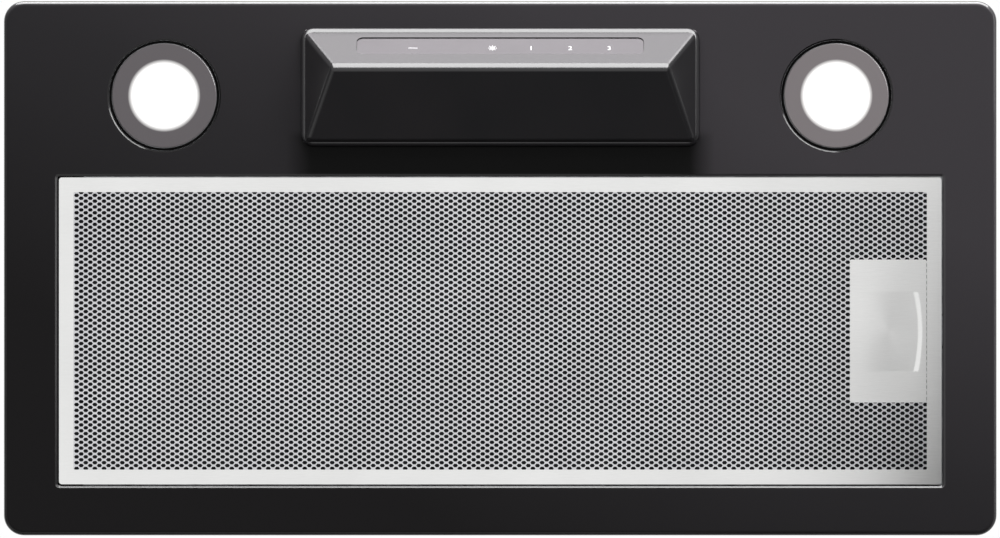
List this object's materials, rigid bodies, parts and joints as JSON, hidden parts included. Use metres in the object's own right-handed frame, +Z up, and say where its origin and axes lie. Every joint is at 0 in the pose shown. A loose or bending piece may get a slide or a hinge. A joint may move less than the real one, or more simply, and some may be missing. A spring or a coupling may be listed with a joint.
{
  "type": "range hood insert",
  "caption": "Built-in range hood insert with a black fascia, raised touch console, two lamps, a drop-down grease filter, a centrifugal blower and a round duct collar with flaps.",
  "frame": {"origin": "middle of the fascia's upper seating face, which meets the underside of the cabinet", "axes": "+Z up into the cabinet, square to the seating face; +X along the hood's width; -Y towards the cook"},
  "size_m": [0.524, 0.282, 0.2552],
  "materials": {
    "black_paint": "satin black powder paint",
    "zinc_sheet": "zinc-coated sheet steel",
    "console_plastic": "satin-gloss black moulding",
    "window_plastic": "smoked touch strip",
    "lens_plastic": "frosted lamp lens",
    "filter_aluminium": "brushed and anodised",
    "mesh_aluminium": "bright perforated sheet",
    "spring_steel": "plain spring strip",
    "zinc_fixings": "zinc-plated",
    "die_cast": "die-cast",
    "white_plastic": "white moulding",
    "black_plastic": "fine-grained black moulding",
    "grey_plastic": "fine-grained grey moulding",
    "circuit_board": "solder-resist green",
    "stator_steel": "stacked laminations",
    "copper_wire": "enamelled copper",
    "rubber": "soft black rubber"
  },
  "bodies": {
    "housing": {"fascia_panel": "black_paint", "fascia_studs": "zinc_fixings", "fascia_nuts": "zinc_fixings", "body_shell": "zinc_sheet", "front_channel": "zinc_sheet", "filter_seat": "zinc_sheet", "filter_hinge_blocks": "black_plastic", "side_clips": "spring_steel", "side_clip_rivets": "zinc_fixings", "console_cover": "console_plastic", "touch_window": "window_plastic", "control_board": "circuit_board", "indicator_leds": "white_plastic", "console_screws": "zinc_fixings", "lamp_lens_left": "lens_plastic", "lamp_lens_right": "lens_plastic", "lamp_body_left": "die_cast", "lamp_body_right": "die_cast", "lamp_reflector_left": "white_plastic", "lamp_reflector_right": "white_plastic", "lamp_led_board_left": "circuit_board", "lamp_led_board_right": "circuit_board", "lamp_clips_left": "spring_steel", "lamp_clips_right": "spring_steel", "scroll_left": "grey_plastic", "scroll_right": "grey_plastic", "inlet_ring_left": "black_plastic", "inlet_ring_right": "black_plastic", "motor_stator": "stator_steel", "motor_windings": "copper_wire", "motor_bell_inner": "die_cast", "motor_bell_outer": "die_cast", "motor_bearings": "stator_steel", "motor_bushes": "rubber", "motor_bracket": "zinc_sheet", "bracket_screws": "zinc_fixings", "capacitor": "white_plastic", "duct_collar": "black_plastic", "flap_rod": "zinc_fixings", "collar_screws": "zinc_fixings", "terminal_box": "black_plastic", "terminal_box_cover": "black_plastic", "terminal_block": "white_plastic", "cable_gland": "black_plastic"},
    "filter": {"filter_frame": "filter_aluminium", "filter_front_sheet": "mesh_aluminium", "filter_mesh_pack": "mesh_aluminium", "filter_rear_sheet": "mesh_aluminium", "filter_hinge_pins": "zinc_fixings", "latch_housing": "grey_plastic", "latch_spring": "spring_steel"},
    "latch": {"latch_handle": "filter_aluminium", "latch_tongue": "spring_steel"},
    "wheel": {"impeller": "black_plastic", "motor_shaft": "stator_steel", "motor_rotor": "stator_steel"},
    "flap_front": {"flap_front": "grey_plastic"},
    "flap_rear": {"flap_rear": "grey_plastic"}
  },
  "joints": [
    {"name": "filter_tilt", "type": "hinge", "parent": "housing", "child": "filter", "pos_m": [-0.22625, 0.033, -0.0053], "axis": [0, 1, 0], "range_deg": [0, 85], "deforming": ["latch_tongue"]},
    {"name": "latch_slide", "type": "slide", "parent": "filter", "child": "latch", "axis": [-1, 0, 0], "range_m": [0, 0.006], "stiffness_N_per_m": 400, "deforming": ["latch_spring"]},
    {"name": "wheel_spin", "type": "hinge", "parent": "housing", "child": "wheel", "pos_m": [0, 0.03, 0.098], "axis": [1, 0, 0], "continuous": true},
    {"name": "flap_front_swing", "type": "hinge", "parent": "housing", "child": "flap_front", "pos_m": [0, -0.0145, 0.19], "axis": [-1, 0, 0], "range_deg": [0, 75]},
    {"name": "flap_rear_swing", "type": "hinge", "parent": "housing", "child": "flap_rear", "pos_m": [0, -0.0145, 0.19], "axis": [1, 0, 0], "range_deg": [0, 75]}
  ]
}
